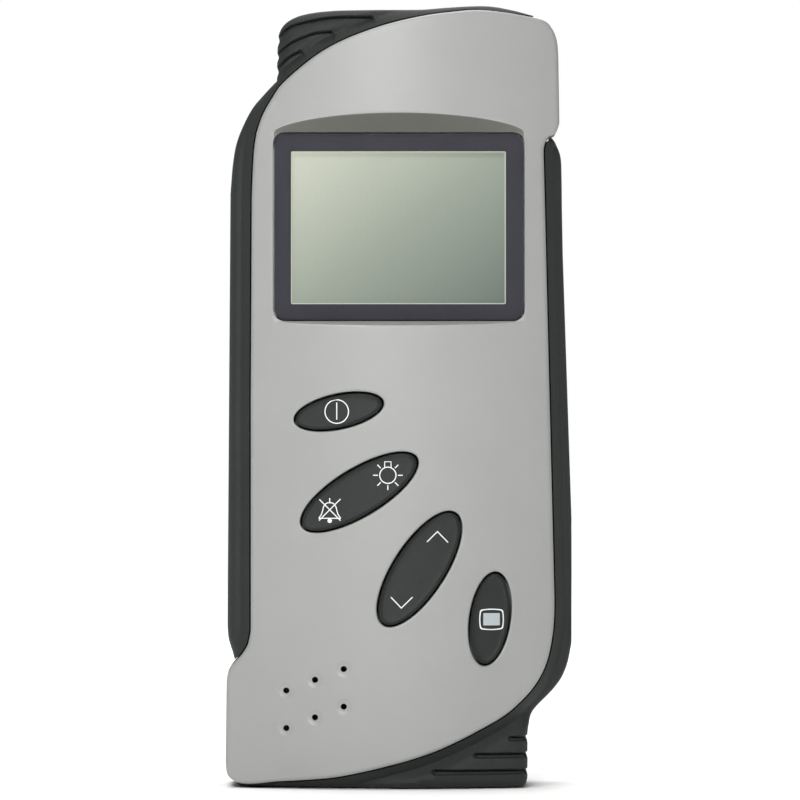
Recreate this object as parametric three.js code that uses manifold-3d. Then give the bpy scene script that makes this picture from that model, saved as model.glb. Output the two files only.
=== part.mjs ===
// Handheld microchip scanner, standing upright on its foot.
// Millimetres. +Z runs up the length of the case, the keys and the display face -Y, +X is to the
// right of someone who looks at the display. The origin is the middle of the foot's flat face.
import * as THREE from "three";
import { mergeVertices } from "three/addons/utils/BufferGeometryUtils.js";
import Module from "manifold-3d";

const wasm = await Module();
wasm.setup();

// ---------------------------------------------------------------- driving dimensions
const GAP = 0.3; // clearance between pieces that touch
const WALL = 2; // moulded wall thickness
const HALF_WIDTH = 34.8; // widest half section of the case
const FACE = -17; // crown of the front cover
const CROWN_RADIUS = 75; // the face is part of a cylinder along Z
const BACK = 17.4; // flat back face
const PARTING = -4; // where the front cover meets the rear cover
const GRIP_STEP = 1.2; // the grips' front lies this far behind the cover's face
const GRIP_BACK = 11; // rear edge of the rubber grips
const CASE_TOP = 156.5;

const WINDOW = { x: 25.1, low: 93.5, high: 131.1, front: -12.7, thick: 1.5, radius: 1.8 };
const VIEW = { x: 21.6, low: 96.8, high: 127.4 }; // lit area of the display
const LCD = { x: 25.5, low: 91.8, high: 132.2, front: -8.8, rear: -3.6 };
const SEAT_REAR = -9.8; // back of the ledge that the window sits on
const BROW_HEIGHT = 3.7; // the sloped wall above the window, where the crown is highest
const SILL_HEIGHT = 0.6; // the same below the window

const SCREW_TIP = -8.5; // deepest point of the screws in the front cover's posts
const KEY_PROUD = 0.4; // the keys stand this far out of the face
const KEY_FLANGE = -11; // front of the flange that keeps a key behind the cover
const FLANGE_THICK = 0.9;
const KEY_GAP = 0.35;

const BOARD = { front: -3.3, thick: 1.4 };
const KEY_BOARD = { front: -7.4, thick: 1.2 };
const CELL = { radius: 7.1, length: 50.5, pitch: 14.9, y: 7.4 };
const BAY = { x: 22.7, low: 19.3, high: 79.3, front: -0.4, wall: 1.2 };
const DOOR = { x: 24.2, low: 17.5, high: 86.5, thick: 2 };

const SOUND_HOLE_RADIUS = 0.6;
const SPEAKER = { x: -16.8, z: 17.9, radius: 10 };
const ROD = { x: 6, y: 2, z: 140, radius: 4, length: 40 };

// Long keys: centre, half length, half width, tilt in degrees from +X.
const KEYS = {
  power_button: { x: -12, z: 75.3, a: 9.2, b: 3.6, tilt: 12 },
  light_mute_rocker: { x: -7.9, z: 59.2, a: 13.5, b: 4.9, tilt: 31 },
  up_down_rocker: { x: 4.1, z: 43.9, a: 13.4, b: 5.3, tilt: 57 },
  display_button: { x: 18.2, z: 33.9, a: 9.5, b: 4.2, tilt: 82 },
};
const CASE_SCREWS = [[26, 149], [-19.5, 137.5], [20, 18.5], [-26, 8]];
const BOARD_SCREWS = [[-24.5, 88], [24.5, 88], [0, 16]];

// ---------------------------------------------------------------- materials
const finish = (color, roughness, metalness = 0) =>
  new THREE.MeshStandardMaterial({ color, roughness, metalness });
const LIGHT_ABS = finish(0xb9bab8, 0.5);
const DARK_ABS = finish(0x3c403e, 0.6);
const RUBBER = finish(0x3a3e3c, 0.75);
const KEY_RUBBER = finish(0x3f4241, 0.6);
const ACRYLIC = finish(0x46454a, 0.15);
const GLASS = finish(0x9aa394, 0.1);
const STEEL = finish(0xb8babc, 0.35, 1);
const BRASS = finish(0xc9a95c, 0.35, 1);
const FOAM = finish(0x2a2a2c, 0.95);
const SILICONE = finish(0x6d7274, 0.8);
const BOARD_GREEN = finish(0x1f5b3a, 0.45);
const CHIP_BLACK = finish(0x1c1c1e, 0.5);
const FERRITE = finish(0x2e2c2b, 0.7);
const COPPER = finish(0xb0643a, 0.35, 1);
const WHITE_PLASTIC = finish(0xe8e8e4, 0.4);
const CELL_WRAP = finish(0x2f4f77, 0.35);

// ---------------------------------------------------------------- outlines in the X-Z plan
const v2 = ([x, y]) => new THREE.Vector2(x, y);
const through = (points, steps) => new THREE.SplineCurve(points.map(v2)).getPoints(steps);
const outline = (...runs) => new THREE.Shape(runs.flat().map((p) => (p.isVector2 ? p : v2(p))));

// A run of points shifted sideways, to the left of its direction of travel.
function moved(points, distance) {
  return points.map((p, i) => {
    const along = points[Math.min(i + 1, points.length - 1)].clone().sub(points[Math.max(i - 1, 0)]);
    return new THREE.Vector2(-along.y, along.x).setLength(distance).add(p);
  });
}

const lowerSwoosh = through(
  [[-32.6, 0.9], [-19.4, 1.6], [-9.2, 2.9], [6.1, 7], [18.8, 13.1], [24, 16.9],
    [27.6, 21], [29.8, 25.6], [31, 32], [31.2, 38]], 26);
const upperSwoosh = through(
  [[15.3, 155.5], [6.1, 154.5], [-4.1, 152.1], [-14.3, 147.9], [-22.4, 141.8],
    [-25.4, 138], [-27.8, 133.4], [-29, 128], [-29.5, 118]], 26);
const topRightCorner = through(
  [[32, 146], [31.7, 149.6], [30.6, 152.2], [28.6, 153.8], [22, 155]], 10);
const rightStep = through([[29, 127.5], [29.3, 129.2], [30.2, 130.6], [31.6, 131.3], [32.2, 133.2]], 8);
const leftStep = through([[-34.6, 21], [-34, 23.8], [-31.8, 26.2], [-30.3, 28.6], [-29.7, 31.5]], 8);
const bottomLeftCorner = through([[-34.8, 5], [-34.4, 2.3], [-32.6, 0.9]], 5);

const coverOutline = outline(
  lowerSwoosh, rightStep, topRightCorner, upperSwoosh, [[-29.7, 77.6]],
  leftStep.slice().reverse(), bottomLeftCorner.slice(0, -1));

const cavityOutline = outline(
  through([[-31, 3.4], [-19.4, 3.8], [-9.2, 5.1], [6.1, 9.2], [18, 15.2], [25.6, 22],
    [28.4, 29], [29, 38]], 18),
  [[27, 127], [29.6, 133.5], [29.8, 149]],
  through([[28, 151.6], [15.3, 153.3], [1, 151.2], [-9, 148], [-17.5, 142.8], [-23.3, 136.6],
    [-26.6, 129], [-27.4, 120]], 18),
  [[-27.5, 32], [-30.5, 26], [-32.5, 21], [-32.6, 5]]);

const leftFlank = through([[-33, 25.4], [-33.5, 27.1], [-34.2, 29.6], [-34.3, 33]], 6);
const leftShoulder = through(
  [[-33.7, 118.8], [-33.2, 125], [-32.2, 130], [-29.6, 135.6], [-27, 138.8], [-24.3, 141.6]], 12);
const headCorner = new THREE.CubicBezierCurve(
  ...[[-24.1, 149], [-24.1, 154.4], [-19.5, 155.6], [-8, 155.6]].map(v2)).getPoints(10);
const headTop = through([[4.6, 155.7], [16.2, CASE_TOP], [22, 155.9], [27, 154.7]], 8);
const rightFlank = through(
  [[31.2, 129.6], [31.9, 127.4], [32.3, 124], [32.6, 106.6], [33.6, 77.6], [34.4, 52.1], [34.8, 36]], 14);
const rightShoulder = through(
  [[34.4, 29.2], [33.6, 25], [32.2, 21.5], [30.1, 18.7], [27.6, 16.1], [26.4, 14.2], [25.8, 10.8]], 12);
const footCorner = through([[25.8, 2], [25.4, 0.5], [24.2, 0]], 4);

const gripInnerLeft = moved(
  [...upperSwoosh, v2([-29.7, 77.6]), ...leftStep.slice().reverse().slice(0, 5)], -GAP);
const leftGripOutline = outline(leftFlank, leftShoulder, headCorner, headTop, gripInnerLeft);
const gripInnerRight = moved([...lowerSwoosh, ...rightStep.slice(0, 5)], -GAP);
const rightGripOutline = outline(gripInnerRight, rightFlank, rightShoulder, footCorner, [[-31.4, 0]]);
const headOutline = outline([[-24, 141.9]], headCorner, headTop, [[27, 140], [-10, 128]]);
const footOutline = outline([[-31.4, 0], [24.2, 0]], footCorner.slice().reverse(), [[25.8, 10.8]],
  [[25, 30], [-20, 20], [-31.4, 3]]);
const backOutline = outline(leftFlank, leftShoulder, headCorner, headTop, [[28, 150], [28, 131.5]],
  rightFlank, rightShoulder, footCorner, [[-31.4, 0], [-31.4, 20]]);

// A slot of constant width along a run of points.
function slot(points, width) {
  return outline(moved(points, width / 2).reverse(), moved(points, -width / 2));
}

function rounded(x0, x1, z0, z1, r) {
  const s = new THREE.Shape();
  s.moveTo(x0 + r, z0).lineTo(x1 - r, z0);
  s.absarc(x1 - r, z0 + r, r, -Math.PI / 2, 0).absarc(x1 - r, z1 - r, r, 0, Math.PI / 2);
  s.absarc(x0 + r, z1 - r, r, Math.PI / 2, Math.PI).absarc(x0 + r, z0 + r, r, Math.PI, Math.PI * 1.5);
  return s;
}

function ellipse(a, b) {
  return new THREE.Shape(new THREE.EllipseCurve(0, 0, a, b).getPoints(28).slice(0, -1));
}

// ---------------------------------------------------------------- solids
function solid(geometry) {
  const bare = geometry.index ? geometry.toNonIndexed() : geometry.clone();
  bare.deleteAttribute("normal");
  bare.deleteAttribute("uv");
  const merged = mergeVertices(bare, 1e-4);
  return new wasm.Manifold(new wasm.Mesh({
    numProp: 3,
    vertProperties: new Float32Array(merged.attributes.position.array),
    triVerts: new Uint32Array(merged.index.array),
  }));
}

function geometryOf(manifold) {
  const mesh = manifold.getMesh();
  const g = new THREE.BufferGeometry();
  g.setAttribute("position", new THREE.BufferAttribute(new Float32Array(mesh.vertProperties), 3));
  g.setIndex(new THREE.BufferAttribute(new Uint32Array(mesh.triVerts), 1));
  return g;
}

const flat = { bevelEnabled: false, curveSegments: 6 };

// A plan outline extruded in depth from y0 to y1.
function plate(shape, y0, y1) {
  const g = new THREE.ExtrudeGeometry(shape, { ...flat, depth: y1 - y0 });
  return solid(g.rotateX(Math.PI / 2).translate(0, y1, 0));
}

// An X-Y section extruded up the length of the case.
function bar(section, z0 = -2, z1 = CASE_TOP + 2) {
  const g = new THREE.ExtrudeGeometry(section, { ...flat, depth: z1 - z0 });
  return solid(g.translate(0, 0, z0));
}

// A Y-Z profile extruded sideways from x0 to x1.
function beam(profile, x0, x1) {
  const g = new THREE.ExtrudeGeometry(profile, { ...flat, depth: x1 - x0 }).translate(0, 0, x0);
  const turn = new THREE.Matrix4().makeBasis(
    new THREE.Vector3(0, 1, 0), new THREE.Vector3(0, 0, 1), new THREE.Vector3(1, 0, 0));
  return solid(g.applyMatrix4(turn));
}

function box(x0, x1, y0, y1, z0, z1) {
  const g = new THREE.BoxGeometry(x1 - x0, y1 - y0, z1 - z0);
  return solid(g.translate((x0 + x1) / 2, (y0 + y1) / 2, (z0 + z1) / 2));
}

// A round post along Y at (x, z).
function post(x, z, radius, y0, y1, sides = 16) {
  const g = new THREE.CylinderGeometry(radius, radius, y1 - y0, sides);
  return solid(g.translate(x, (y0 + y1) / 2, z));
}

function ringPost(x, z, outer, inner, y0, y1, sides = 20) {
  return post(x, z, outer, y0, y1, sides).subtract(post(x, z, inner, y0 - 1, y1 + 1, sides));
}

const united = (solids) => solids.reduce((a, b) => a.add(b));

const part = new THREE.Group();

function add(name, shape, material, parent = part) {
  const mesh = new THREE.Mesh(shape.isBufferGeometry ? shape : geometryOf(shape), material);
  mesh.name = name;
  parent.add(mesh);
  return mesh;
}

// ---------------------------------------------------------------- case section and shells
const crown = (x) => FACE + CROWN_RADIUS - Math.sqrt(CROWN_RADIUS ** 2 - x ** 2);

// The crown from one side to the other, as points that run from +x to -x.
function crownRun(halfWidth, dy) {
  const steps = 22;
  return Array.from({ length: steps + 1 }, (_, i) => {
    const x = halfWidth * (1 - (2 * i) / steps);
    return [x, crown(x) + dy];
  });
}

function caseSection(dy) {
  const side = HALF_WIDTH + 0.2;
  const corner = new THREE.CubicBezierCurve(
    ...[[side, 9], [side, 14.5], [31, BACK], [25, BACK]].map(v2)).getPoints(7);
  const lifted = corner.map((p) => [p.x, p.y + dy]);
  const mirrored = lifted.map(([x, y]) => [-x, y]).reverse();
  return outline(crownRun(side, dy).reverse(), lifted, mirrored);
}
const caseBar = bar(caseSection(0));

const screwPost = ([x, z]) => post(x, z, 3, FACE, PARTING);
const boardPost = ([x, z]) => post(x, z, 2, FACE, BOARD.front - GAP);

function frontCover() {
  const cavity = plate(cavityOutline, FACE, PARTING + 1).intersect(bar(caseSection(WALL)));
  const seat = plate(rounded(-27.2, 27.2, WINDOW.low - 2, WINDOW.high + 4.5, 3), FACE, SEAT_REAR);
  let cover = plate(coverOutline, FACE - 1, PARTING).intersect(caseBar).subtract(cavity).add(seat);
  cover = united([cover, ...CASE_SCREWS.map(screwPost), ...BOARD_SCREWS.map(boardPost)]);
  cover = cover.intersect(plate(coverOutline, FACE - 1, PARTING)).intersect(caseBar);

  // Sloped walls above and below the window: flat cuts that meet the crown in an arc.
  const { x, low, high, front, thick, radius } = WINDOW;
  const depth = front - FACE;
  const reach = 2;
  const slopes = outline([
    [front, low - GAP], [front - depth * reach, low - GAP - SILL_HEIGHT * reach],
    [front - depth * reach, high + GAP + BROW_HEIGHT * reach], [front, high + GAP]]);
  const pocket = rounded(-x - GAP, x + GAP, low - GAP, high + GAP, radius);
  cover = cover
    .subtract(plate(pocket, FACE - 2, front + thick + GAP))
    .subtract(beam(slopes, -x - GAP, x + GAP))
    .subtract(box(-22.4, 22.4, FACE, SEAT_REAR + 1, VIEW.low - 0.8, VIEW.high + 0.8));
  for (const k of Object.values(KEYS))
    cover = cover.subtract(placed(plate(ellipse(k.a, k.b), FACE - 2, 0), k));
  for (const [hx, hz] of soundHoles())
    cover = cover.subtract(post(hx, hz, SOUND_HOLE_RADIUS, FACE - 2, 0, 10));
  for (const [sx, sz] of CASE_SCREWS)
    cover = cover.subtract(post(sx, sz, 1.4, SCREW_TIP - 1, 0, 10));
  for (const [sx, sz] of BOARD_SCREWS)
    cover = cover.subtract(post(sx, sz, 1.1, SCREW_TIP, 0, 10));
  return cover;
}

// Two slanting rows of three holes.
function soundHoles() {
  const holes = [];
  for (let column = 0; column < 3; column++)
    for (const row of [12, 19.5]) holes.push([-22.5 + 5.75 * column, row + 2.2 * column]);
  return holes;
}

function placed(manifold, key) {
  return manifold.rotate([0, -key.tilt, 0]).translate([key.x, 0, key.z]);
}

function rearCover() {
  const low = PARTING + GAP;
  const corners = [headOutline, footOutline].map((o) => plate(o, low, BACK));
  const body = united([
    plate(coverOutline, low, BACK), ...corners, plate(backOutline, GRIP_BACK + GAP, BACK)]);
  const cavity = plate(cavityOutline, low - 1, BACK).intersect(bar(caseSection(-WALL)));
  const bayX = BAY.x + BAY.wall;
  const bay = box(-bayX, bayX, BAY.front - BAY.wall, BACK - 1.5, BAY.low - BAY.wall, BAY.high + 1.5)
    .add(box(-bayX - 1, bayX + 1, 10.5, BACK - 1.5, BAY.high, DOOR.high + 2));
  let rear = body.intersect(caseBar).subtract(cavity).add(bay);
  rear = united([rear, ...CASE_SCREWS.map(([x, z]) => post(x, z, 3.2, low, BACK - 1))]);
  rear = rear.intersect(caseBar);
  // battery bay, and the pocket above it that the door's catch works in
  rear = rear
    .subtract(box(-BAY.x, BAY.x, BAY.front, BACK + 1, BAY.low, BAY.high))
    .subtract(box(-BAY.x, BAY.x, 12, BACK + 1, BAY.high + 1.5, DOOR.high - 1))
    .subtract(box(-DOOR.x - 0.4, DOOR.x + 0.4, BACK - DOOR.thick - GAP, BACK + 1,
      DOOR.low - 0.4, DOOR.high + 0.4));
  for (const [x, z] of CASE_SCREWS)
    rear = rear
      .subtract(post(x, z, 1.7, low - 1, BACK + 1, 12))
      .subtract(post(x, z, 3, 13, BACK + 1, 16));
  return rear.add(united(contactRibs()));
}

// Ribs that carry the flat contacts at the cells' positive ends.
function contactRibs() {
  return cellPlaces().map(({ x, up }) => {
    const [z0, z1] = up ? [BAY.high - 3.6, BAY.high + 0.5] : [BAY.low - 0.5, BAY.low + 3.6];
    return box(x - 3.5, x + 3.5, BAY.front - 0.5, 11, z0, z1);
  });
}

function cellPlaces() {
  return [-1, 0, 1].map((i) => ({ x: i * CELL.pitch, up: i !== 0 }));
}

// ---------------------------------------------------------------- grips
// The grips' section: the crown set back by a step, rolling over at the flank.
function gripSection() {
  const side = [[33.9, -6.6], [34.8, -3.4], [34.8, 5], [33.8, 9], [32, GRIP_BACK]];
  const mirrored = side.map(([x, y]) => [-x, y]).reverse();
  return outline(crownRun(32.2, GRIP_STEP).reverse(), side, mirrored);
}
const gripBar = bar(gripSection());

// A groove in the grip's front, cut to a depth that follows the crown.
function groove(shape) {
  const deep = 0.8;
  return plate(shape, FACE - 2, PARTING).subtract(bar(caseSection(GRIP_STEP + deep)));
}

function leftGrip() {
  const whole = plate(leftGripOutline, FACE, GRIP_BACK).intersect(gripBar);
  const band = whole.intersect(box(-40, -24.3, -20, 20, 0, 142.4));
  const head = whole.intersect(box(-40, 40, -20, PARTING, 100, 160));
  const grooves = [
    [[-5, 154], [-13.6, 153.9], [-20, 152.2], [-25.5, 148.4]],
    [[-12.7, 151.2], [-18, 150.2], [-25.5, 145.9]],
    [[-19.6, 147.7], [-22.5, 146.2], [-25.5, 143.6]],
  ];
  const cut = (grip, run) => grip.subtract(groove(slot(through(run, 8), 0.9)));
  return grooves.reduce(cut, band.add(head));
}

function rightGrip() {
  const whole = plate(rightGripOutline, FACE, GRIP_BACK).intersect(gripBar);
  const band = whole.intersect(box(26, 40, -20, 20, 13, 140));
  let grip = band.add(whole.intersect(box(-40, 40, -20, PARTING, -1, 60)));
  const first = 3;
  const pitch = 3.45;
  [6.6, 14.9, 22].forEach((x, i) => {
    const z = first + pitch * i;
    grip = grip
      .subtract(groove(outline([[x, z - 0.5], [28, z - 0.5], [28, z + 0.5], [x, z + 0.5]])))
      .subtract(box(25.3, 28, -20, 0, z - 0.5, z + 0.5));
  });
  return grip;
}

add("front_cover", frontCover(), LIGHT_ABS);
add("rear_cover", rearCover(), DARK_ABS);
add("left_grip", leftGrip(), RUBBER);
add("right_grip", rightGrip(), RUBBER);

// ---------------------------------------------------------------- display
function display() {
  const { x, low, high, front, thick, radius } = WINDOW;
  add("display_window", plate(rounded(-x, x, low, high, radius), front, front + thick), ACRYLIC);
  add("window_gasket", plate(rounded(-24.6, 24.6, 93.4, 130.6, 1), SEAT_REAR + GAP, LCD.front - GAP)
    .subtract(box(-22.6, 22.6, -13, -8, VIEW.low - 0.8, VIEW.high + 0.8)), FOAM);
  const frame = box(-LCD.x, LCD.x, LCD.front, LCD.rear, LCD.low, LCD.high)
    .subtract(box(-22.2, 22.2, LCD.front - 1, 0, VIEW.low - 0.5, VIEW.high + 0.5))
    .subtract(box(-LCD.x + 0.6, LCD.x - 0.6, LCD.front + 0.5, 0, LCD.low + 0.6, LCD.high - 0.6));
  add("lcd_frame", frame, STEEL);
  add("lcd_glass", box(-24.6, 24.6, -8, -6.4, 92.8, 131.2), GLASS);
  add("backlight", box(-24.6, 24.6, -6.1, -3.8, 92.8, 131.2), WHITE_PLASTIC);
  add("lcd_flex", box(-9, 9, -6.6, -6.3, 86, 91.5).add(box(-9, 9, -6.6, LCD.rear, 85.7, 86)), COPPER);
}
display();

// ---------------------------------------------------------------- keys
function keyGroup(key) {
  const g = new THREE.Group();
  g.position.set(key.x, 0, key.z);
  g.rotation.y = THREE.MathUtils.degToRad(-key.tilt);
  part.add(g);
  return g;
}

// A cap with a stepped edge whose top follows the crown, on a flange behind the cover.
function keyCap(key, flange) {
  const a = key.a - KEY_GAP;
  const b = key.b - KEY_GAP;
  const lip = 0.5;
  const rear = KEY_FLANGE + FLANGE_THICK;
  const follow = (inset, dy) => plate(ellipse(a - inset, b - inset), FACE - 2, rear)
    .intersect(bar(caseSection(dy)).translate([-key.x, 0, -key.z]).rotate([0, key.tilt, 0]));
  return united([follow(lip, -KEY_PROUD), follow(0, 0.1), flange]);
}

function keys() {
  const rear = KEY_FLANGE + FLANGE_THICK;
  for (const name of ["power_button", "display_button"]) {
    const k = KEYS[name];
    const flange = plate(ellipse(k.a + 0.7, k.b + 0.7), KEY_FLANGE, rear);
    add(name, keyCap(k, flange), KEY_RUBBER, keyGroup(k));
  }
  for (const name of ["light_mute_rocker", "up_down_rocker"]) {
    const k = KEYS[name];
    const wings = box(-4, 4, KEY_FLANGE, rear, -k.b - 1, k.b + 1);
    add(name, keyCap(k, wings), KEY_RUBBER, keyGroup(k));
  }
  const field = outline([[-25, 30.2], [-5, 30.2], [7, 23.4], [26, 23.4], [26, 83], [-25, 83]]);
  const { front, thick } = KEY_BOARD;
  add("keypad_mat", plate(field, front - 1.8, front - 1.1), SILICONE);
  add("key_board", plate(field, front, front + thick), BOARD_GREEN);
  add("board_header", box(-8, 8, -5.9, BOARD.front - GAP, 77, 79.6), CHIP_BLACK);
}
keys();

// A snap dome is a thin steel cap on the key board.
function snapDome(name, x, z) {
  const profile = [[0, 0.35], [2.4, 0.12], [3.2, 0], [3.2, 0.12], [2.4, 0.3], [0, 0.55]].map(v2);
  const mesh = add(name, new THREE.LatheGeometry(profile, 12), STEEL);
  mesh.rotation.x = Math.PI;
  mesh.position.set(x, KEY_BOARD.front - GAP, z);
}
const along = (key, d) => {
  const t = THREE.MathUtils.degToRad(key.tilt);
  return [key.x + d * Math.cos(t), key.z + d * Math.sin(t)];
};
snapDome("power_dome", ...along(KEYS.power_button, 0));
snapDome("mute_dome", ...along(KEYS.light_mute_rocker, -8));
snapDome("light_dome", ...along(KEYS.light_mute_rocker, 8));
snapDome("up_dome", ...along(KEYS.up_down_rocker, 8));
snapDome("down_dome", ...along(KEYS.up_down_rocker, -8));
snapDome("display_dome", ...along(KEYS.display_button, 0));

// ---------------------------------------------------------------- electronics
function electronics() {
  const { front, thick } = BOARD;
  const rear = front + thick + GAP;
  const boardOutline = outline(
    [[-26, 14], [12, 14], [24.5, 23.5], [26, 30], [26, 133], [-21, 133], [-26, 124]]);
  const holes = united([
    ...CASE_SCREWS.map(([x, z]) => post(x, z, 3.7, -10, 0)),
    ...BOARD_SCREWS.map(([x, z]) => post(x, z, 1.4, -10, 0, 10))]);
  const board = plate(boardOutline, front, front + thick).subtract(holes);
  add("main_board", board, BOARD_GREEN);
  add("processor", box(-7, 7, rear, rear + 1.4, 100, 114), CHIP_BLACK);
  add("reader_chip", box(11, 19, rear, rear + 1.2, 118, 126), CHIP_BLACK);
  const can = box(-23, -1, rear, rear + 3.4, 117, 131)
    .subtract(box(-22.6, -1.4, rear - 1, rear + 3, 117.4, 130.6));
  add("shield_can", can, STEEL);
  add("speaker_gasket", ringPost(SPEAKER.x, SPEAKER.z, 8.2, 7, -10.4, -9.8), FOAM);
  add("speaker", post(SPEAKER.x, SPEAKER.z, SPEAKER.radius, -9.6, -7.6, 28)
    .add(post(SPEAKER.x, SPEAKER.z, 6, -7.8, -5.4, 20)), STEEL);
  BOARD_SCREWS.forEach(([x, z], i) => screw(`board_screw_${i + 1}`, x, z, rear, 2, 0.8, 6));
  CASE_SCREWS.forEach(([x, z], i) => screw(`case_screw_${i + 1}`, x, z, 12.7, 2.6, 1.1, 21.5));
}

// A pan-head screw along Y with its head at the rear, and a cross recess.
function screw(name, x, z, seat, headRadius, shankRadius, length) {
  const head = post(0, 0, headRadius, 0, 1.8, 16)
    .subtract(box(-headRadius * 0.6, headRadius * 0.6, 1, 3, -0.35, 0.35))
    .subtract(box(-0.35, 0.35, 1, 3, -headRadius * 0.6, headRadius * 0.6));
  const mesh = add(name, head.add(post(0, 0, shankRadius, -length, 0.2, 8)), STEEL);
  mesh.position.set(x, seat + GAP, z);
}
electronics();

// ---------------------------------------------------------------- antenna in the head
function antenna() {
  const g = new THREE.Group();
  g.position.set(ROD.x, ROD.y, ROD.z);
  part.add(g);
  const alongX = (geometry) => geometry.rotateZ(Math.PI / 2);
  add("ferrite_rod", alongX(new THREE.CylinderGeometry(ROD.radius, ROD.radius, ROD.length, 20)), FERRITE, g);
  const inner = ROD.radius + GAP;
  const winding = [[inner, -11], [6.2, -11], [6.2, 11], [inner, 11], [inner, -11]].map(v2);
  add("antenna_coil", alongX(new THREE.LatheGeometry(winding, 24)), COPPER, g);
  [["left", -1], ["right", 1]].forEach(([side, s]) => {
    const block = box(-2, 2, -5, 12.6, -5.6, 5.6)
      .subtract(solid(alongX(new THREE.CylinderGeometry(inner, inner, 8, 20))));
    add(`rod_holder_${side}`, block, WHITE_PLASTIC, g).position.set(s * 14.5, 0, 0);
  });
}
antenna();

// ---------------------------------------------------------------- battery
class Cone extends THREE.Curve {
  getPoint(t) {
    const turns = 3;
    const angle = 2 * Math.PI * turns * t;
    const r = 4 - 1.7 * t;
    return new THREE.Vector3(r * Math.cos(angle), r * Math.sin(angle), 0.4 + 3.1 * t);
  }
}

function battery() {
  const profile = [
    [0, 0], [6.2, 0], [CELL.radius, 0.6], [CELL.radius, 48.4],
    [6.2, 49], [2.7, 49], [2.7, CELL.length], [0, CELL.length]];
  const clear = 4.6;
  const round = new THREE.EllipseCurve(0, 0, 0.35, 0.35).getPoints(6).slice(0, -1);
  const wire = { steps: 36, bevelEnabled: false, extrudePath: new Cone() };
  cellPlaces().forEach(({ x, up }, i) => {
    const g = new THREE.Group();
    g.position.set(x, CELL.y, up ? BAY.low : BAY.high);
    if (!up) g.rotation.x = Math.PI;
    part.add(g);
    const cell = add(`battery_cell_${i + 1}`, new THREE.LatheGeometry(profile.map(v2), 24), CELL_WRAP, g);
    cell.rotation.x = Math.PI / 2;
    cell.position.z = clear;
    const spring = new THREE.ExtrudeGeometry(outline(round), wire);
    add(`contact_spring_${i + 1}`, spring, STEEL, g).position.z = GAP;
    const plateTop = BAY.high - BAY.low - 3.6 - GAP;
    const contact = add(`contact_plate_${i + 1}`, new THREE.BoxGeometry(6.6, 8, 0.4), BRASS, g);
    contact.position.z = plateTop - 0.2;
  });
}
battery();

function door() {
  const { x, low, high, thick } = DOOR;
  let panel = plate(rounded(-x, x, low, high, 1.5), BACK - thick, BACK);
  panel = panel.subtract(box(-7.4, 7.4, BACK - 1.3, BACK + 1, 77, high + 1));
  add("battery_door", panel, DARK_ABS);
  let latch = box(-7, 7, BACK - 1, BACK, 80, high - 0.1);
  for (const z of [81.2, 82.8, 84.4])
    latch = latch.subtract(box(-5.5, 5.5, BACK - 0.4, BACK + 1, z, z + 0.8));
  add("door_latch", latch, DARK_ABS);
}
door();

export default part;
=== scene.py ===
# %% [markdown]
# # A handheld microchip scanner
# A vet holds this reader over an animal's shoulders and it reads the chip under the skin. It has
# a light grey moulded face, dark rubber grips that sweep round it, a display, four silicone keys
# and a battery door in the back. The CAD model already fixes every size and every moving part.
# This lesson gives each visible part its rounded edges, its fine relief and its real finish.

# %% Load the CAD model as the fixed frame
import math
import bmesh
import bpy
import numpy as np
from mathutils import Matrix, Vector
from mathutils.geometry import delaunay_2d_cdt


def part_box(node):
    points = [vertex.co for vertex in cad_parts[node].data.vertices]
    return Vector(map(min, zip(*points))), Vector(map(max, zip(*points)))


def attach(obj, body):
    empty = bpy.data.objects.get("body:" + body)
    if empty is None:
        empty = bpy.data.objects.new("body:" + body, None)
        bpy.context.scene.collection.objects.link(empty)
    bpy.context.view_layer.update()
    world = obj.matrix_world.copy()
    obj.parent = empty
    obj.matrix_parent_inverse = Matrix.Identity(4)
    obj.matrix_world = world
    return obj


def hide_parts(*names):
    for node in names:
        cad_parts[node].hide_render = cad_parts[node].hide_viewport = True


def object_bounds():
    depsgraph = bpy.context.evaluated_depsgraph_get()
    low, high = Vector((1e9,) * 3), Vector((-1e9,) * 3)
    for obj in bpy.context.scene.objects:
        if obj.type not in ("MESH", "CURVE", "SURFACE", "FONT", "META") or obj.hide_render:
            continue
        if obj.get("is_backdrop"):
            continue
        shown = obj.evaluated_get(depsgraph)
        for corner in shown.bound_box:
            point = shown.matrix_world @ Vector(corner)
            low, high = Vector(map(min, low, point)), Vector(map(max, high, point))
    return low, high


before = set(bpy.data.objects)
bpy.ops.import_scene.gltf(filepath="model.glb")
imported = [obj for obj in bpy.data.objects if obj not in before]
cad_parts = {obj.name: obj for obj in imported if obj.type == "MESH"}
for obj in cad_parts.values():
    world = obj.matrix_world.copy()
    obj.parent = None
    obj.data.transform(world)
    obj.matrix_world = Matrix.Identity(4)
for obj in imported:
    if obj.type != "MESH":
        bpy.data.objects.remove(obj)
cad_low, cad_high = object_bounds()
MM = 0.001
print("CAD box, mm:", [round((b - a) / MM, 1) for a, b in zip(cad_low, cad_high)])

# %% [markdown]
# ## Reading the outlines
# The case is drawn in plan, in X and Z, and given its depth along Y. So each outline can be read
# back by slicing a CAD part with a plane of constant Y. Curves come out as short straight pieces.
# A Catmull-Rom spline passes through every corner point, so it rounds the curve but doesn't move
# it. Long pieces really are straight, so their ends get no curve.

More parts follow.
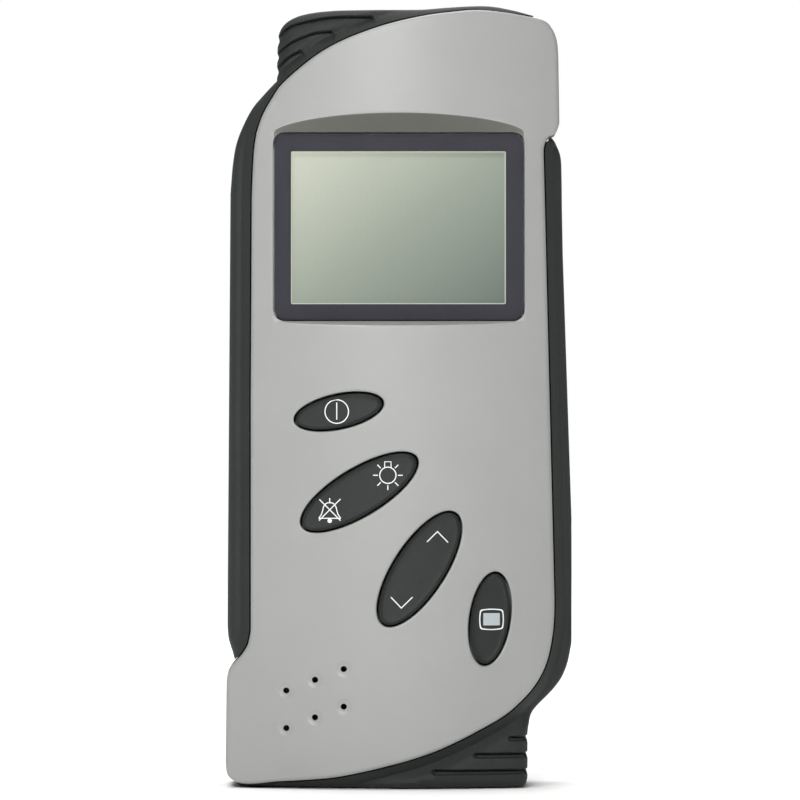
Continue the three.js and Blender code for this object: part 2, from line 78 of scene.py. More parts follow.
# %% Slice a CAD part and smooth the outline
def longest_loop(name, y):
    """The outline, as (x, z) in mm, where the plane y cuts a CAD part."""
    bm = bmesh.new()
    bm.from_mesh(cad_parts[name].data)
    bmesh.ops.remove_doubles(bm, verts=bm.verts, dist=1e-6)
    everything = bm.verts[:] + bm.edges[:] + bm.faces[:]
    cut = bmesh.ops.bisect_plane(bm, geom=everything, plane_co=(0, y * MM, 0), plane_no=(0, 1, 0))
    neighbours = {}
    for e in cut["geom_cut"]:
        if isinstance(e, bmesh.types.BMEdge):
            for v, w in (e.verts, reversed(e.verts)):
                neighbours.setdefault(v, []).append(w)
    loops = []
    while neighbours:
        start = next(iter(neighbours))
        loop, here, before = [start], start, None
        while True:
            after = [v for v in neighbours.pop(here, []) if v is not before]
            after = [v for v in after if v in neighbours or v is start]
            if not after or after[0] is start:
                break
            before, here = here, after[0]
            loop.append(here)
        loops.append(np.array([(v.co.x, v.co.z) for v in loop]) / MM)
    bm.free()
    return max(loops, key=lambda loop: np.ptp(loop[:, 0]) * np.ptp(loop[:, 1]))


def turn_at(loop):
    """How far the outline turns at each point, in degrees, left turns positive."""
    before, after = loop - np.roll(loop, 1, 0), np.roll(loop, -1, 0) - loop
    cross = before[:, 0] * after[:, 1] - before[:, 1] * after[:, 0]
    return np.degrees(np.arctan2(cross, (before * after).sum(1)))


LONG_PIECE = 9.0


def smooth_outline(loop, step=0.6, corner=34):
    """Rounds the short pieces into curves, keeps real corners, and spaces the points evenly."""
    area = (loop[:, 0] * np.roll(loop[:, 1], -1) - loop[:, 1] * np.roll(loop[:, 0], -1)).sum()
    loop = loop if area > 0 else loop[::-1]
    loop = loop[np.hypot(*(loop - np.roll(loop, 1, 0)).T) > 0.02]
    loop = loop[np.abs(turn_at(loop)) > 0.25]
    turns = np.abs(turn_at(loop))
    n = len(loop)
    points = []
    for i in range(n):
        p0, p1, p2, p3 = (loop[(i + k) % n] for k in (-1, 0, 1, 2))
        length = np.hypot(*(p2 - p1))
        straight = length > LONG_PIECE
        if straight or turns[i] > corner:
            p0 = p1 - (p2 - p1)
        else:
            p0 = p1 + (p0 - p1) * length / np.hypot(*(p0 - p1))
        if straight or turns[(i + 1) % n] > corner:
            p3 = p2 + (p2 - p1)
        else:
            p3 = p2 + (p3 - p2) * length / np.hypot(*(p3 - p2))
        count = max(1, round(length / step))
        for t in np.arange(count) / count:
            points.append(0.5 * (2 * p1 + (p2 - p0) * t + (2 * p0 - 5 * p1 + 4 * p2 - p3) * t**2
                                 + (3 * p1 - p0 - 3 * p2 + p3) * t**3))
    return np.array(points)


PARTING = -4.0
cover_outline = smooth_outline(longest_loop("front_cover", PARTING - 0.5))
case_edge = smooth_outline(longest_loop("rear_cover", 11.6))
print("cover outline:", len(cover_outline), "points; case outline:", len(case_edge))

# %% [markdown]
# ## One way to build every plate
# Face, grips, keys and door are all plates: an outline with holes, and a height over each point
# of it. So one function fills the outline with triangles, close together near the edges where
# the rounding is. It lifts them to two height functions, front and back, and closes the sides. A
# boolean and a bevel modifier would give the same plate with far less even shading.

# %% Distances, the inside of an outline, and rounding
def distance(points, line, closed=True):
    """How far each point is from a line of straight pieces, in mm."""
    starts, ends = (line, np.roll(line, -1, 0)) if closed else (line[:-1], line[1:])
    best = np.full(len(points), 1e9)
    for a, b in zip(starts, ends):
        run = b - a
        t = np.clip((points - a) @ run / max(run @ run, 1e-12), 0, 1)
        best = np.minimum(best, np.hypot(*(points - a - t[:, None] * run).T))
    return best


def inside(points, loop):
    x, z = points.T
    odd = np.zeros(len(points), bool)
    for (x0, z0), (x1, z1) in zip(loop, np.roll(loop, -1, 0)):
        if z0 != z1:
            odd ^= ((z0 > z) != (z1 > z)) & (x < (x1 - x0) * (z - z0) / (z1 - z0) + x0)
    return odd


def fillet(d, radius):
    """How far an edge rounded to this radius has dropped, at a distance d in from the edge."""
    reach = radius - np.clip(d, 0, radius)
    return radius - np.sqrt(np.maximum(radius**2 - reach**2, 0))


def fillet_rings(radius, steps=5):
    """Where to put points so that a rounded edge turns by the same angle from one to the next."""
    return [radius * (1 - math.cos(math.pi / 2 * k / steps)) for k in range(1, steps + 1)]


def smooth_step(t):
    t = np.clip(t, 0, 1)
    return t * t * (3 - 2 * t)


BULGE_RIGHT, BULGE_LEFT = 0.4, 0.2


def swollen(loop):
    """The outline with the flanks pushed out a little, as soft rubber bulges between its ends."""
    x, z = loop.T
    right = BULGE_RIGHT * smooth_step((x - 20) / 6)
    right *= smooth_step((z - 14) / 10) * smooth_step((131 - z) / 4)
    left = BULGE_LEFT * smooth_step((-x - 12) / 8) * smooth_step((z - 28) / 5)
    outer = distance(loop, case_edge) < 0.6
    return loop + np.stack([(right - left) * outer, 0 * z], 1)


case_outline = swollen(case_edge)

# %% Fill an outline and close it into a solid
def beside(line, offset, closed=True):
    """The points of a line moved sideways, to the left for a positive offset."""
    if closed:
        run = np.roll(line, -1, 0) - np.roll(line, 1, 0)
    else:
        run = np.gradient(line, axis=0)
    run = run / np.maximum(np.hypot(*run.T), 1e-9)[:, None]
    return line + offset * np.stack([-run[:, 1], run[:, 0]], 1)


def plate(loops, front, back, rings=(), pitch=1.7, creases=(), lines=(), wall=0.03):
    """Points and faces of a plate. The first loop is the outline and the others are holes.

    front and back take the points and their distances to each loop, and return y in mm. creases
    are loops where the height jumps, over a wall that reaches as far to both sides as given, and
    lines are open runs that need points close beside them.
    """
    def within(points):
        keep = inside(points, loops[0])
        for hole in loops[1:]:
            keep &= ~inside(points, hole)
        return points[keep]

    chains = [*loops, *(beside(c, s) for c in creases for s in (-wall, wall))]
    seeds = []
    for ring in rings:
        row = within(np.vstack([beside(loop, s) for loop in loops for s in (ring, -ring)]))
        seeds.append(row[np.min([distance(row, loop) for loop in loops], 0) > 0.9 * ring])
    for line in lines:
        row = within(np.vstack([beside(line, s, False) for s in (-0.5, -0.25, 0, 0.25, 0.5)]))
        seeds.append(row[np.min([distance(row, loop) for loop in loops], 0) > 0.12])
    low, high = loops[0].min(0), loops[0].max(0)
    xs, zs = np.meshgrid(np.arange(low[0], high[0], pitch),
                         np.arange(low[1], high[1], pitch * 0.87))
    xs[1::2] += pitch / 2
    grid = within(np.stack([xs.ravel(), zs.ravel()], 1))
    clear = np.min([distance(grid, chain) for chain in chains], 0) > pitch * 0.45
    clear &= np.min([distance(grid, loop) for loop in loops], 0) > max([0, *rings]) + pitch * 0.3
    for line in lines:
        clear &= distance(grid, line, closed=False) > 0.7
    seeds.append(grid[clear])

    points, edges = [], []
    for chain in chains:
        first = len(points)
        points += list(chain)
        edges += [(first + i, first + (i + 1) % len(chain)) for i in range(len(chain))]
    for line in lines:
        edges += [(len(points) + i, len(points) + i + 1) for i in range(len(line) - 1)]
        points += list(line)
    points += [p for row in seeds for p in row]
    flat, _, faces, *_ = delaunay_2d_cdt([Vector(p) for p in points], edges, [], 0, 1e-4, False)
    flat, faces = np.array([v[:] for v in flat]), np.array(faces)
    middle = flat[faces].mean(1)
    keep = inside(middle, loops[0])
    for hole in loops[1:]:
        keep &= ~inside(middle, hole)
    faces = faces[keep]
    used = np.unique(faces)
    remap = np.full(len(flat), -1)
    remap[used] = np.arange(len(used))
    flat, faces = flat[used], remap[faces]

    depth = np.array([distance(flat, loop) for loop in loops])
    n = len(flat)
    solid = np.empty((2 * n, 3))
    solid[:, 0], solid[:, 2] = np.tile(flat[:, 0], 2), np.tile(flat[:, 1], 2)
    solid[:n, 1], solid[n:, 1] = front(flat, depth), back(flat, depth)
    sides = {}
    for a, b, c in faces:
        for edge in ((a, b), (b, c), (c, a)):
            sides[tuple(sorted(edge))] = None if tuple(sorted(edge)) in sides else edge
    walls = [(b, a, a + n, b + n) for a, b in filter(None, sides.values())]
    return solid, [tuple(f) for f in faces] + [tuple(f[::-1] + n) for f in faces] + walls

# %% Turn solids into an object that rides on a body
def piece(name, solids, body, material, replaces=(), sharp=38):
    points, faces = [], []
    for solid, corners in solids:
        first = len(points)
        points += [tuple(p * MM) for p in solid]
        faces += [tuple(int(i) + first for i in f) for f in corners]
    mesh = bpy.data.meshes.new(name)
    mesh.from_pydata(points, [], faces)
    bm = bmesh.new()
    bm.from_mesh(mesh)
    bmesh.ops.recalc_face_normals(bm, faces=bm.faces)
    bm.to_mesh(mesh)
    bm.free()
    mesh.polygons.foreach_set("use_smooth", [True] * len(mesh.polygons))
    mesh.set_sharp_from_angle(angle=math.radians(sharp))
    mesh.materials.append(material)
    obj = bpy.data.objects.new(name, mesh)
    bpy.context.scene.collection.objects.link(obj)
    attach(obj, body)
    if replaces:
        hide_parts(*replaces)
    print(f"{name}: {len(mesh.polygons)} faces on {body}")
    return obj


def level(y):
    """A height function that is the same everywhere."""
    return lambda points, depth: np.full(len(points), float(y))

# %% [markdown]
# ## Finishes
# Each finish starts from the real stuff and how it was made. All patterns use object coordinates,
# in metres, so a size in millimetres becomes a texture scale of 1000 divided by it.

# %% Colour and node helpers
def srgb(code):
    """A hex colour as linear red, green, blue and alpha."""
    values = [int(code[i:i + 2], 16) / 255 for i in (1, 3, 5)]
    return [v / 12.92 if v <= 0.04045 else ((v + 0.055) / 1.055) ** 2.4 for v in values] + [1.0]


def shade(code, factor):
    return [min(1.0, v * factor) for v in srgb(code)[:3]] + [1.0]


def add(tree, kind, inputs=None, **settings):
    """Adds a node, sets it up, and links the inputs that are given as sockets."""
    node = tree.nodes.new(kind)
    for key, value in settings.items():
        setattr(node, key, value)
    for key, value in (inputs or {}).items():
        if isinstance(value, bpy.types.NodeSocket):
            tree.links.new(value, node.inputs[key])
        else:
            node.inputs[key].default_value = value
    return node


def new_material(name):
    material = bpy.data.materials.new(name)
    material.use_nodes = True
    material.node_tree.nodes.clear()
    return material, material.node_tree

# %% [markdown]
# ### Moulded plastic and rubber
# The mould's walls are spark-eroded, so the parts come out with a fine even grain that spreads
# the light. ABS has an IOR of 1.54 and a roughness near 0.5 with this grain. The rubber of the
# grips is a soft thermoplastic elastomer: duller, with a faint sheen from its skin of fine dust.
# One recipe makes them all: a fine noise for the grain, and a broad faint one for the colour.

# %% A recipe for grained mouldings
def moulded(name, colour, roughness, grain, relief, mottle=0.03, **shader):
    """grain is the size of the mould's texture and relief its height, both in mm."""
    material, tree = new_material(name)
    where = add(tree, "ShaderNodeTexCoord").outputs["Object"]
    fine = add(tree, "ShaderNodeTexNoise",
               {"Vector": where, "Scale": 1000 / grain, "Detail": 3.0, "Roughness": 0.6})
    cloud = add(tree, "ShaderNodeTexNoise",
                {"Vector": where, "Scale": 1000 / 14, "Detail": 5.0, "Roughness": 0.62})
    ramp = add(tree, "ShaderNodeValToRGB", {"Fac": cloud.outputs["Fac"]})
    ramp.color_ramp.elements[0].position, ramp.color_ramp.elements[1].position = 0.3, 0.7
    ramp.color_ramp.elements[0].color = shade(colour, 1 - mottle)
    ramp.color_ramp.elements[1].color = shade(colour, 1 + mottle)
    dull = add(tree, "ShaderNodeMapRange",
               {"Value": fine.outputs["Fac"], "From Min": 0.3, "From Max": 0.7,
                "To Min": roughness - 0.05, "To Max": roughness + 0.05})
    bump = add(tree, "ShaderNodeBump",
               {"Height": fine.outputs["Fac"], "Distance": relief * MM, "Strength": 1.0})
    skin = add(tree, "ShaderNodeBsdfPrincipled",
               {"Base Color": ramp.outputs["Color"], "Roughness": dull.outputs["Result"],
                "Normal": bump.outputs["Normal"], **shader})
    add(tree, "ShaderNodeOutputMaterial", {"Surface": skin.outputs["BSDF"]})
    return material


# Grain of 0.5 mm is coarser than the real 0.1 mm, or it would not show at this size.
face_abs = moulded("light grey ABS, spark-eroded mould", "#8e8f8d", 0.44, 0.5, 0.012, 0.02,
                   **{"IOR": 1.54})
# The slope over the display is given a darker olive grey: a painted shade, for the shadow that
# falls on this downward-facing slope.
brow_painted_shade = moulded("olive grey ABS, painted shade on the brow", "#50504b", 0.5, 0.5, 0.012, 0.02,
                    **{"IOR": 1.54})
# The back has a coarser texture, which hides scratches and looks a shade duller.
shell_abs = moulded("dark grey ABS, coarse mould texture", "#222524", 0.55, 0.6, 0.03, 0.05,
                    **{"IOR": 1.54})
# Soft-touch rubber scatters nearly all its light, so its highlight is broad and weak.
rubber = moulded("soft-touch TPE rubber", "#1d2120", 0.7, 0.5, 0.02, 0.08,
                 **{"IOR": 1.42, "Sheen Weight": 0.02, "Sheen Roughness": 0.5})
# Silicone is smoother than the grips, so the rim of each key catches a thin line of light.
key_silicone = moulded("silicone rubber keys", "#1a1d1c", 0.6, 0.45, 0.012, 0.04,
                       **{"IOR": 1.4, "Sheen Weight": 0.02, "Sheen Roughness": 0.4})
# The mat inside has little pigment, so light goes a short way in and it looks milky.
mat_silicone = moulded("translucent silicone keypad mat", "#6d7274", 0.6, 0.6, 0.02, 0.05,
                       **{"IOR": 1.43, "Subsurface Weight": 0.1, "Subsurface Scale": 0.001})
# White ABS for what isn't seen, as it came from the machine.
white_abs = moulded("white ABS holders", "#e4e4df", 0.45, 0.5, 0.01, 0.02, **{"IOR": 1.54})
# Screen-printed ink lies on the silicone as an even matt film.
key_ink = moulded("white screen-printed ink", "#d8dbd9", 0.6, 0.3, 0.01, 0.02, **{"IOR": 1.5})
grey_ink = moulded("pale grey screen-printed ink", "#a0a8ab", 0.6, 0.3, 0.01, 0.03,
                   **{"IOR": 1.5})
# Foam shows cut cells at its faces, which trap the light, so it looks nearly black.
foam = moulded("closed-cell foam tape", "#2a2a2c", 0.95, 0.35, 0.12, 0.12, **{"IOR": 1.3})
# Chip packages are moulded with a satin skin. Ferrite is a pressed and fired powder, like slate.
epoxy = moulded("black epoxy chip packages", "#1c1c1e", 0.5, 0.3, 0.01, 0.05, **{"IOR": 1.55})
ferrite = moulded("sintered ferrite", "#2e2c2b", 0.65, 0.4, 0.03, 0.12, **{"IOR": 2.2})
print("moulded finishes:", len(bpy.data.materials))

# %% [markdown]
# ### Display finishes
# The window is clear acrylic, IOR 1.49, with a dark frame printed on its back. The light has to
# reach the display through it, so it is made as a thin sheet: see-through, with a mirror layer
# that grows at a slant. The liquid crystal panel is grey-green, with a painted glow that is
# brightest at its upper left: painted light.

# %% Acrylic, printed frame and liquid crystal
def clear_sheet():
    material, tree = new_material("clear acrylic window")
    see = add(tree, "ShaderNodeBsdfTransparent", {"Color": srgb("#f4f6f4")})
    where = add(tree, "ShaderNodeTexCoord").outputs["Object"]
    ripple = add(tree, "ShaderNodeTexNoise", {"Vector": where, "Scale": 1000 / 12, "Detail": 1.0})
    wipe = add(tree, "ShaderNodeMapRange",
               {"Value": ripple.outputs["Fac"], "From Min": 0.3, "From Max": 0.7,
                "To Min": 0.04, "To Max": 0.1})
    gloss = add(tree, "ShaderNodeBsdfGlossy",
                {"Color": srgb("#ffffff"), "Roughness": wipe.outputs[0]})
    # Schlick's rule, from 2 % straight on, as an anti-glare coat gives, to 100 % at a glance.
    slant = add(tree, "ShaderNodeLayerWeight", {"Blend": 0.5}).outputs["Facing"]
    steep = add(tree, "ShaderNodeMath", {0: slant, 1: 5.0}, operation="POWER")
    share = add(tree, "ShaderNodeMapRange",
                {"Value": steep.outputs[0], "To Min": 0.02, "To Max": 1.0})
    mix = add(tree, "ShaderNodeMixShader",
              {0: share.outputs[0], 1: see.outputs["BSDF"], 2: gloss.outputs["BSDF"]})
    add(tree, "ShaderNodeOutputMaterial", {"Surface": mix.outputs["Shader"]})
    return material


acrylic = clear_sheet()
# The ink is bonded to the acrylic, so it has no mirror layer of its own.
window_ink = moulded("dark ink printed behind acrylic", "#45424c", 0.4, 2.0, 0.001, 0.02,
                     **{"IOR": 1.49, "Specular IOR Level": 0.0})


def painted_lcd_glow(low, high):
    """A panel with a painted glow, brightest at its upper left and painted darker to its lower
    right, with a 0.35 mm dot grid.
    """
    material, tree = new_material("liquid crystal panel")
    where = add(tree, "ShaderNodeTexCoord").outputs["Object"]
    place = add(tree, "ShaderNodeSeparateXYZ", {"Vector": where})
    across = add(tree, "ShaderNodeMapRange",
                 {"Value": place.outputs["X"], "From Min": low.x, "From Max": high.x,
                  "To Min": 0.0, "To Max": 0.5})
    down = add(tree, "ShaderNodeMapRange",
               {"Value": place.outputs["Z"], "From Min": high.z, "From Max": low.z,
                "To Min": 0.0, "To Max": 0.5})
    diagonal = add(tree, "ShaderNodeMath", {0: across.outputs[0], 1: down.outputs[0]})
    tint = add(tree, "ShaderNodeValToRGB", {"Fac": diagonal.outputs[0]})
    stops = tint.color_ramp.elements
    stops[0].position, stops[0].color = 0.04, srgb("#e1e0d1")
    stops[1].position, stops[1].color = 0.96, srgb("#616d66")
    middle = stops.new(0.5)
    middle.color = srgb("#a1a89c")
    rows = add(tree, "ShaderNodeTexBrick",
               {"Vector": add(tree, "ShaderNodeCombineXYZ",
                              {"X": place.outputs["X"], "Y": place.outputs["Z"]}).outputs[0],
                "Scale": 1000.0, "Brick Width": 0.35, "Row Height": 0.35, "Mortar Size": 0.03,
                "Color1": srgb("#ffffff"), "Color2": srgb("#fbfbfb"), "Mortar": srgb("#f0f0f0")},
               offset=0.0)
    lit = add(tree, "ShaderNodeMix", {0: 1.0, 6: tint.outputs[0], 7: rows.outputs["Color"]},
              data_type="RGBA", blend_type="MULTIPLY")
    # The panel's own colour is dimmed, so that the painted glow hides the shade in the pocket.
    deep = add(tree, "ShaderNodeMix", {0: 1.0, 6: lit.outputs[2], 7: srgb("#4a4a4a")},
               data_type="RGBA", blend_type="MULTIPLY")
    # The emission is a painted glow, standing in for the light the panel reflects.
    skin = add(tree, "ShaderNodeBsdfPrincipled",
               {"Base Color": deep.outputs[2], "Roughness": 0.35, "IOR": 1.5,
                "Emission Color": lit.outputs[2], "Emission Strength": 1.0})
    add(tree, "ShaderNodeOutputMaterial", {"Surface": skin.outputs["BSDF"]})
    return material


# The edge of the acrylic light guide is given a painted glow: a thin bright line round the
# display, a painted highlight.
light_guide_painted_glow = moulded("edge of the light guide", "#9da093", 0.4, 0.5, 0.002, 0.02,
                    **{"IOR": 1.49, "Emission Color": srgb("#c9ccbd"), "Emission Strength": 0.6})
lcd_low, lcd_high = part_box("lcd_glass")
lcd_painted_glow = painted_lcd_glow(lcd_low, lcd_high)
print("panel, mm:", [round(v / MM, 1) for v in lcd_high - lcd_low])

# %% [markdown]
# ### Metals, board and battery
# Zinc-plated screws, nickel-plated springs, brass plates and the tinned steel can are bare metal:
# full metallic, with fine marks from drawing and rolling. The circuit board is glass epoxy under
# green solder mask, where the copper tracks show as paler lines.

# %% Metal and board finishes
def metal(name, colour, roughness, mark, stretch):
    """mark is the marks' width in mm. A small stretch makes them long in X, Y or Z."""
    material, tree = new_material(name)
    where = add(tree, "ShaderNodeTexCoord").outputs["Object"]
    long = add(tree, "ShaderNodeMapping", {"Vector": where, "Scale": stretch})
    marks = add(tree, "ShaderNodeTexNoise",
                {"Vector": long.outputs[0], "Scale": 1000 / mark, "Detail": 4.0})
    dull = add(tree, "ShaderNodeMapRange",
               {"Value": marks.outputs["Fac"], "From Min": 0.3, "From Max": 0.7,
                "To Min": roughness - 0.08, "To Max": roughness + 0.08})
    tint = add(tree, "ShaderNodeValToRGB", {"Fac": marks.outputs["Fac"]})
    tint.color_ramp.elements[0].color = shade(colour, 0.86)
    tint.color_ramp.elements[1].color = shade(colour, 1.06)
    bump = add(tree, "ShaderNodeBump",
               {"Height": marks.outputs["Fac"], "Distance": 0.004 * MM, "Strength": 1.0})
    skin = add(tree, "ShaderNodeBsdfPrincipled",
               {"Base Color": tint.outputs["Color"], "Metallic": 1.0,
                "Roughness": dull.outputs[0], "Normal": bump.outputs["Normal"]})
    add(tree, "ShaderNodeOutputMaterial", {"Surface": skin.outputs["BSDF"]})
    return material


# Zinc is a bluish satin, nickel brighter and warmer, brass yellow and tin a dull pale grey.
zinc = metal("zinc-plated steel", "#c3c5c8", 0.32, 0.4, (1, 1, 1))
nickel = metal("nickel-plated spring steel", "#cfccc4", 0.24, 0.3, (1, 1, 0.3))
brass = metal("rolled brass", "#d9b968", 0.3, 0.25, (1, 1, 0.1))
tinned = metal("tinned steel can", "#bfc1c2", 0.36, 0.5, (0.1, 1, 1))
# The coil's enamel is clear, so the copper shows through it, with a line for every turn.
enamelled = metal("enamelled copper wire", "#b4653c", 0.34, 0.22, (1, 0.02, 0.02))
# Polyimide film is a smooth clear amber.
flex_film = moulded("polyimide flex film", "#b8722c", 0.35, 0.8, 0.004, 0.05, **{"IOR": 1.7})


def solder_mask():
    material, tree = new_material("green solder mask on glass epoxy")
    where = add(tree, "ShaderNodeTexCoord").outputs["Object"]
    cells = add(tree, "ShaderNodeTexVoronoi",
                {"Vector": where, "Scale": 1000 / 3.2, "Randomness": 0.35},
                distance="CHEBYCHEV", feature="F1")
    tracks = add(tree, "ShaderNodeMath", {0: cells.outputs["Distance"], 1: 9.0},
                 operation="MULTIPLY")
    bands = add(tree, "ShaderNodeMath", {0: tracks.outputs[0]}, operation="FRACT")
    ramp = add(tree, "ShaderNodeValToRGB", {"Fac": bands.outputs[0]})
    ramp.color_ramp.interpolation = "CONSTANT"
    ramp.color_ramp.elements[0].color = srgb("#17492f")
    ramp.color_ramp.elements[1].position = 0.62
    ramp.color_ramp.elements[1].color = srgb("#2a7049")
    bump = add(tree, "ShaderNodeBump",
               {"Height": ramp.outputs["Color"], "Distance": 0.035 * MM, "Strength": 1.0})
    skin = add(tree, "ShaderNodeBsdfPrincipled",
               {"Base Color": ramp.outputs["Color"], "Roughness": 0.38, "IOR": 1.5,
                "Normal": bump.outputs["Normal"]})
    add(tree, "ShaderNodeOutputMaterial", {"Surface": skin.outputs["BSDF"]})
    return material


board_green = solder_mask()
# A cell's sleeve is shrunk-on plastic film, so it is smooth, with a long soft highlight.
sleeve = moulded("printed battery sleeve, dark", "#2b3438", 0.3, 1.2, 0.004, 0.04, **{"IOR": 1.5})
band = moulded("printed battery sleeve, copper band", "#b7793f", 0.28, 1.2, 0.004, 0.04,
               **{"IOR": 1.5})
print("finishes:", len(bpy.data.materials))

# %% [markdown]
# ## The face
# The face is a piece of a cylinder of 75 mm radius that runs up the length of the case, so it
# turns away on both sides. The window is flat, and sits in a pocket cut into the crown. The
# pocket's upper wall is a slope, 3.7 mm high where the crown is highest, which fades to nothing
# at the corners: the dark eyebrow over the display, which faces down into shade and is given a
# painted shade as well. Its lower wall is steeper.

# %% The crown and the pocket's slopes
CROWN_RADIUS = 75.0
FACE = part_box("front_cover")[0].y / MM
WINDOW_LOW, WINDOW_HIGH = (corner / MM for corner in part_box("display_window"))
GAP, WINDOW_GAP = 0.3, 0.12


def crown(x):
    return FACE + CROWN_RADIUS - np.sqrt(CROWN_RADIUS**2 - x**2)


def deeper(a, b, soft=0.3):
    """The deeper of two surfaces, with the edge between them rounded."""
    blend = np.maximum(soft - np.abs(a - b), 0) / soft
    return np.maximum(a, b) + blend**2 * soft / 4


def pocket_fade(x):
    """1 where the crown is highest, and 0 where it has fallen to the window's plane."""
    share = (WINDOW_LOW.y - crown(x)) / (WINDOW_LOW.y - FACE)
    return np.maximum(share, 1e-4) ** 0.62


def pocket_slope(x, z, edge, height):
    """From the window's plane at edge up to the crown, where the slope is height long at most."""
    share = np.clip((z - edge) / (height * pocket_fade(x)), 0, 1.2)
    y = WINDOW_LOW.y + (crown(x) - WINDOW_LOW.y) * share
    return np.where(crown(x) < WINDOW_LOW.y, y, WINDOW_LOW.y - 1)


BROW, SILL, BROW_HALF_WIDTH = 3.7, 0.9, 25.2
brow_edge, sill_edge = WINDOW_HIGH.z + WINDOW_GAP, WINDOW_LOW.z - WINDOW_GAP
side = np.linspace(-BROW_HALF_WIDTH, BROW_HALF_WIDTH, 85)
brow_line = np.stack([side, brow_edge + BROW * pocket_fade(side)], 1)
sill_line = np.stack([side, sill_edge - SILL * pocket_fade(side)], 1)
print("brow is highest at Z", round(float(brow_line[:, 1].max()), 1), "mm")

# %% Openings in the face
KEYS = {  # centre x and z, half length and half width in mm, tilt in degrees
    "power": (-12.0, 75.3, 9.2, 3.6, 12),
    "light_mute": (-7.9, 59.2, 13.5, 4.9, 31),
    "up_down": (4.1, 43.9, 13.4, 5.3, 57),
    "display": (18.2, 33.9, 9.5, 4.2, 82),
}


def ellipse(x, z, a, b, tilt=0, step=0.45):
    turn = math.radians(tilt)
    t = np.linspace(0, 2 * math.pi, max(16, round(math.pi * (a + b) / step)), endpoint=False)
    u, v = a * np.cos(t), b * np.sin(t)
    return np.stack([x + u * math.cos(turn) - v * math.sin(turn),
                     z + u * math.sin(turn) + v * math.cos(turn)], 1)


def rounded_box(x0, x1, z0, z1, radius, step=0.7):
    """An outline with round corners, and points along its sides too."""
    points = []
    corners = [(x1, z0, -90), (x1, z1, 0), (x0, z1, 90), (x0, z0, 180)]
    for x, z, angle in corners:
        cx = x - radius if x == x1 else x + radius
        cz = z - radius if z == z1 else z + radius
        for a in np.radians(np.linspace(angle, angle + 90, 9)):
            points.append((cx + radius * math.cos(a), cz + radius * math.sin(a)))
    dense = []
    for a, b in zip(points, points[1:] + points[:1]):
        count = max(1, round(math.dist(a, b) / step))
        dense += [np.array(a) + (np.array(b) - np.array(a)) * k / count for k in range(count)]
    return np.array(dense)


window_hole = rounded_box(WINDOW_LOW.x - WINDOW_GAP, WINDOW_HIGH.x + WINDOW_GAP, sill_edge,
                          brow_edge, 2.4)
key_holes = [ellipse(*key) for key in KEYS.values()]
SOUND_HOLES = [(-22.5 + 5.75 * c, z + 2.2 * c) for c in range(3) for z in (12.0, 19.5)]
sound_holes = [ellipse(x, z, 0.6, 0.6, step=0.16) for x, z in SOUND_HOLES]
print(len(key_holes), "key openings and", len(sound_holes), "sound holes")

# %% Build the face
def face_front(points, depth):
    x, z = points.T
    y = crown(x)
    y = deeper(y, pocket_slope(x, z, brow_edge, BROW))
    y = np.where(z < sill_edge + 1, deeper(crown(x), pocket_slope(x, -z, -sill_edge, SILL)), y)
    y = y + fillet(depth[0], 0.8)
    for d in depth[2:6]:
        y = y + fillet(d, 0.35)
    for d in depth[6:]:
        y = y + fillet(d, 0.1) + 0.2 * (1 - smooth_step((d - 0.35) / 0.75))
    return y


def face_back(points, depth):
    x, z = points.T
    around_window = (np.abs(x) < 27.2) & (z > WINDOW_LOW.z - 2) & (z < WINDOW_HIGH.z + 4.5)
    y = np.where(around_window, -9.8, crown(x) + 2)
    return np.where(depth[0] < 2, PARTING, y)


rim = fillet_rings(0.8)
face = plate([cover_outline, window_hole, *key_holes, *sound_holes], face_front, face_back,
             rings=[0.05, 0.12, *rim[1:], 0.98, 1.2, 1.98, 2.02], lines=[brow_line, sill_line],
             pitch=1.5)
cover = piece("face_cover", [face], "case", face_abs, ["front_cover"])
# The brow's downward-facing faces get the darker material: painted shade.
cover.data.materials.append(brow_painted_shade)
for polygon in cover.data.polygons:
    x, y, z = polygon.center / MM
    in_brow = brow_edge - 2.5 < z < np.interp(x, side, brow_line[:, 1])
    below_crown = y > crown(x) + 0.04 and polygon.normal.y < -0.2
    if abs(x) < BROW_HALF_WIDTH and in_brow and below_crown:
        polygon.material_index = 1

# %% [markdown]
# ## The grips
# The rubber starts 1.2 mm behind the face. Beside the face it slopes down for 2 mm into a soft
# valley, then rises to the pad, and at the flanks it rolls over to the back. Three channels run
# across the pad at the foot and nick its edge. At the head only their upper sides are walls: the
# lower sides fade into the pad, like overlapping scales.

# %% Channels in the pads
def curve_through(points, step=0.5):
    """A smooth open run through a few points."""
    p = np.array(points, float)
    p = np.vstack([2 * p[0] - p[1], p, 2 * p[-1] - p[-2]])
    run = []
    for p0, p1, p2, p3 in zip(p, p[1:], p[2:], p[3:]):
        count = max(2, round(np.hypot(*(p2 - p1)) / step))
        for t in np.arange(count) / count:
            run.append(0.5 * (2 * p1 + (p2 - p0) * t + (2 * p0 - 5 * p1 + 4 * p2 - p3) * t**2
                              + (3 * p1 - p0 - 3 * p2 + p3) * t**3))
    return np.array([*run, p[-2]])


WALL, HEAD_HALF, FOOT_HALF = 0.13, 1.2, 0.5
head_walls = [curve_through(run) for run in (
    [(-5.4, 154.3), (-13.7, 154.2), (-20.3, 153.0), (-22.6, 151.9), (-26, 148.6)],
    [(-13.4, 151.4), (-16.5, 151.2), (-20.3, 149.9), (-22.6, 148.6), (-26, 145.6)],
    [(-19.8, 147.6), (-21.4, 146.8), (-22.8, 145.8), (-26, 142.6)])]
head_channels = [beside(run, HEAD_HALF, False) for run in head_walls]
foot_channels = [curve_through([(x, z), (27, z)])
                 for x, z in ((7.1, 3.2), (15.4, 6.5), (22.4, 9.8))]


